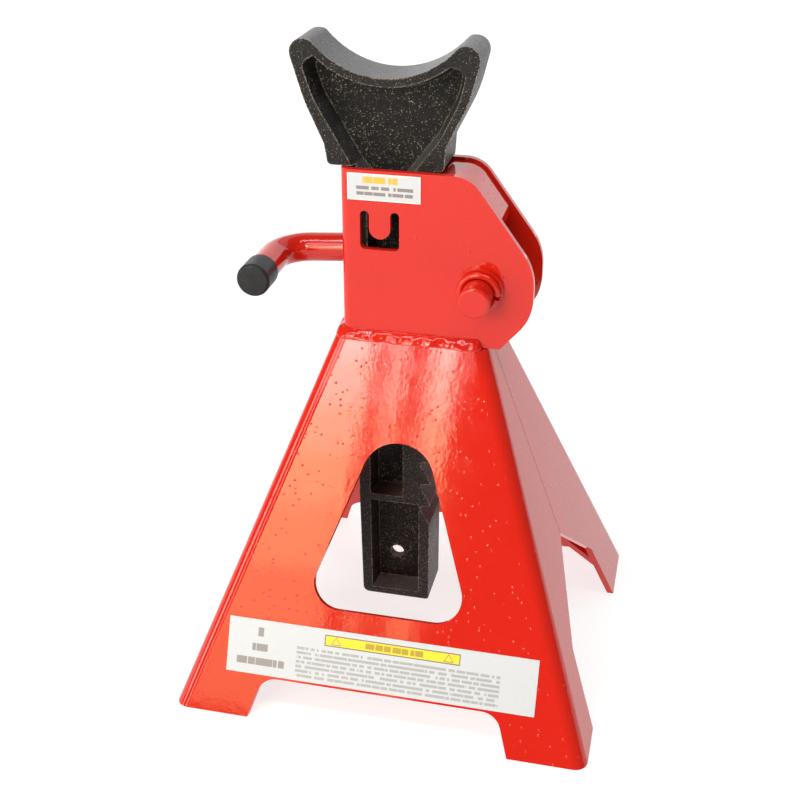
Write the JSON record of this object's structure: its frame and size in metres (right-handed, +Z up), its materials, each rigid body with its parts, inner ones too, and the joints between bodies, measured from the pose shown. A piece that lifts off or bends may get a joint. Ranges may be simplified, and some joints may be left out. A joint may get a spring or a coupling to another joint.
{
  "type": "axle jack stand",
  "caption": "Ratcheting axle jack stand: splayed pressed steel base, folded tower, toothed cast bar with a curved saddle, and a bent lever that swings the pawl.",
  "frame": {"origin": "centre of the base's footprint, on the ground", "axes": "+X along the front of the base towards the pivot side, +Y from the front face to the back, +Z up, the way the bar rises"},
  "size_m": [0.187, 0.173, 0.286],
  "materials": {
    "red_paint": "gloss",
    "black_casting": "matt black coating",
    "pawl_casting": "as cast",
    "spring_steel": "satin",
    "black_vinyl": "semi-gloss",
    "sticker": "printed",
    "caution_sticker": "printed"
  },
  "bodies": {
    "stand": {"base_front_shell": "red_paint", "base_rear_shell": "red_paint", "foot_pad_front_left": "red_paint", "foot_pad_front_right": "red_paint", "foot_pad_rear_left": "red_paint", "foot_pad_rear_right": "red_paint", "seam_weld_left": "red_paint", "seam_weld_right": "red_paint", "tower_housing": "red_paint", "top_strap": "red_paint", "lower_guide_strap": "red_paint", "tower_weld_front": "red_paint", "tower_weld_rear": "red_paint", "tower_weld_left": "red_paint", "front_washer": "red_paint", "caution_label": "caution_sticker", "base_label": "sticker"},
    "bar": {"ratchet_bar": "black_casting"},
    "lever": {"lever_rod": "red_paint", "lever_cap": "black_vinyl", "pawl": "pawl_casting", "pawl_pin": "spring_steel", "retaining_ring": "red_paint"}
  },
  "joints": [
    {"name": "bar_slide", "type": "slide", "parent": "stand", "child": "bar", "axis": [0, 0, 1], "range_m": [0, 0.1398]},
    {"name": "lever_hinge", "type": "hinge", "parent": "stand", "child": "lever", "pos_m": [0.0294, 0, 0.187], "axis": [0, 1, 0], "range_deg": [0, 22]}
  ]
}
